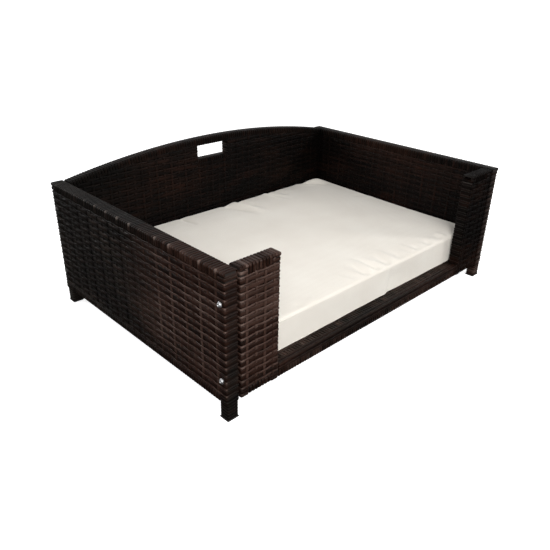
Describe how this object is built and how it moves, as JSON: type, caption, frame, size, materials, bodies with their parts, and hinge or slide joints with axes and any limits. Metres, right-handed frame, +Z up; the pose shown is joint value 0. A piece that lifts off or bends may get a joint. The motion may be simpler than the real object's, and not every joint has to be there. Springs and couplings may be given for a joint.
{
  "type": "wicker pet bed",
  "caption": "Rectangular wicker pet bed on short legs, with high woven sides, an arched back with a hand slot, an open front with a low rail, and a loose box cushion.",
  "frame": {"origin": "centre of the footprint, on the floor", "axes": "+X to the bed's right along its length, -Y towards the open front, +Z up"},
  "size_m": [1.0062, 0.68, 0.382],
  "materials": {
    "wicker": "satin variegated dark brown and black flat strand",
    "frame_steel": "satin dark brown powder coat",
    "bolt": "bright zinc plated",
    "foot": "matte moulded plastic",
    "cushion_fabric": "matte off-white woven polyester",
    "foam": "open-cell foam",
    "zip_tape": "woven zip tape",
    "zip_metal": "satin nickel"
  },
  "bodies": {
    "bed": {"apron_wrap": "wicker", "back_arched_rail": "frame_steel", "back_bottom_rail": "frame_steel", "back_left_post": "frame_steel", "back_right_post": "frame_steel", "back_slot_left_bar": "frame_steel", "back_slot_rail": "frame_steel", "back_slot_right_bar": "frame_steel", "back_weave": "wicker", "bolt_left_front_high": "bolt", "bolt_left_front_low": "bolt", "bolt_left_rear_high": "bolt", "bolt_left_rear_low": "bolt", "bolt_right_front_high": "bolt", "bolt_right_front_low": "bolt", "bolt_right_rear_high": "bolt", "bolt_right_rear_low": "bolt", "deck_front_bar": "frame_steel", "deck_left_bar": "frame_steel", "deck_left_cross_bar": "frame_steel", "deck_left_ledge": "frame_steel", "deck_rear_bar": "frame_steel", "deck_right_bar": "frame_steel", "deck_right_cross_bar": "frame_steel", "deck_right_ledge": "frame_steel", "deck_weave": "wicker", "front_left_cap_rail": "frame_steel", "front_left_inner_post": "frame_steel", "front_left_outer_post": "frame_steel", "front_left_weave": "wicker", "front_rail": "frame_steel", "front_right_cap_rail": "frame_steel", "front_right_inner_post": "frame_steel", "front_right_outer_post": "frame_steel", "front_right_weave": "wicker", "left_bottom_rail": "frame_steel", "left_front_foot": "foot", "left_front_leg_wrap": "wicker", "left_front_post": "frame_steel", "left_rear_foot": "foot", "left_rear_leg_wrap": "wicker", "left_rear_post": "frame_steel", "left_top_rail": "frame_steel", "left_weave": "wicker", "right_bottom_rail": "frame_steel", "right_front_foot": "foot", "right_front_leg_wrap": "wicker", "right_front_post": "frame_steel", "right_rear_foot": "foot", "right_rear_leg_wrap": "wicker", "right_rear_post": "frame_steel", "right_top_rail": "frame_steel", "right_weave": "wicker"},
    "cushion": {"cushion_cover": "cushion_fabric", "cushion_core": "foam", "cushion_zip": "zip_tape"},
    "slider": {"zip_slider": "zip_metal"}
  },
  "joints": [
    {"name": "cushion_lift", "type": "slide", "parent": "bed", "child": "cushion", "axis": [0, 0, 1], "range_m": [0, 0.35]},
    {"name": "zip_slide", "type": "slide", "parent": "cushion", "child": "slider", "axis": [1, 0, 0], "range_m": [-0.78, 0]}
  ]
}
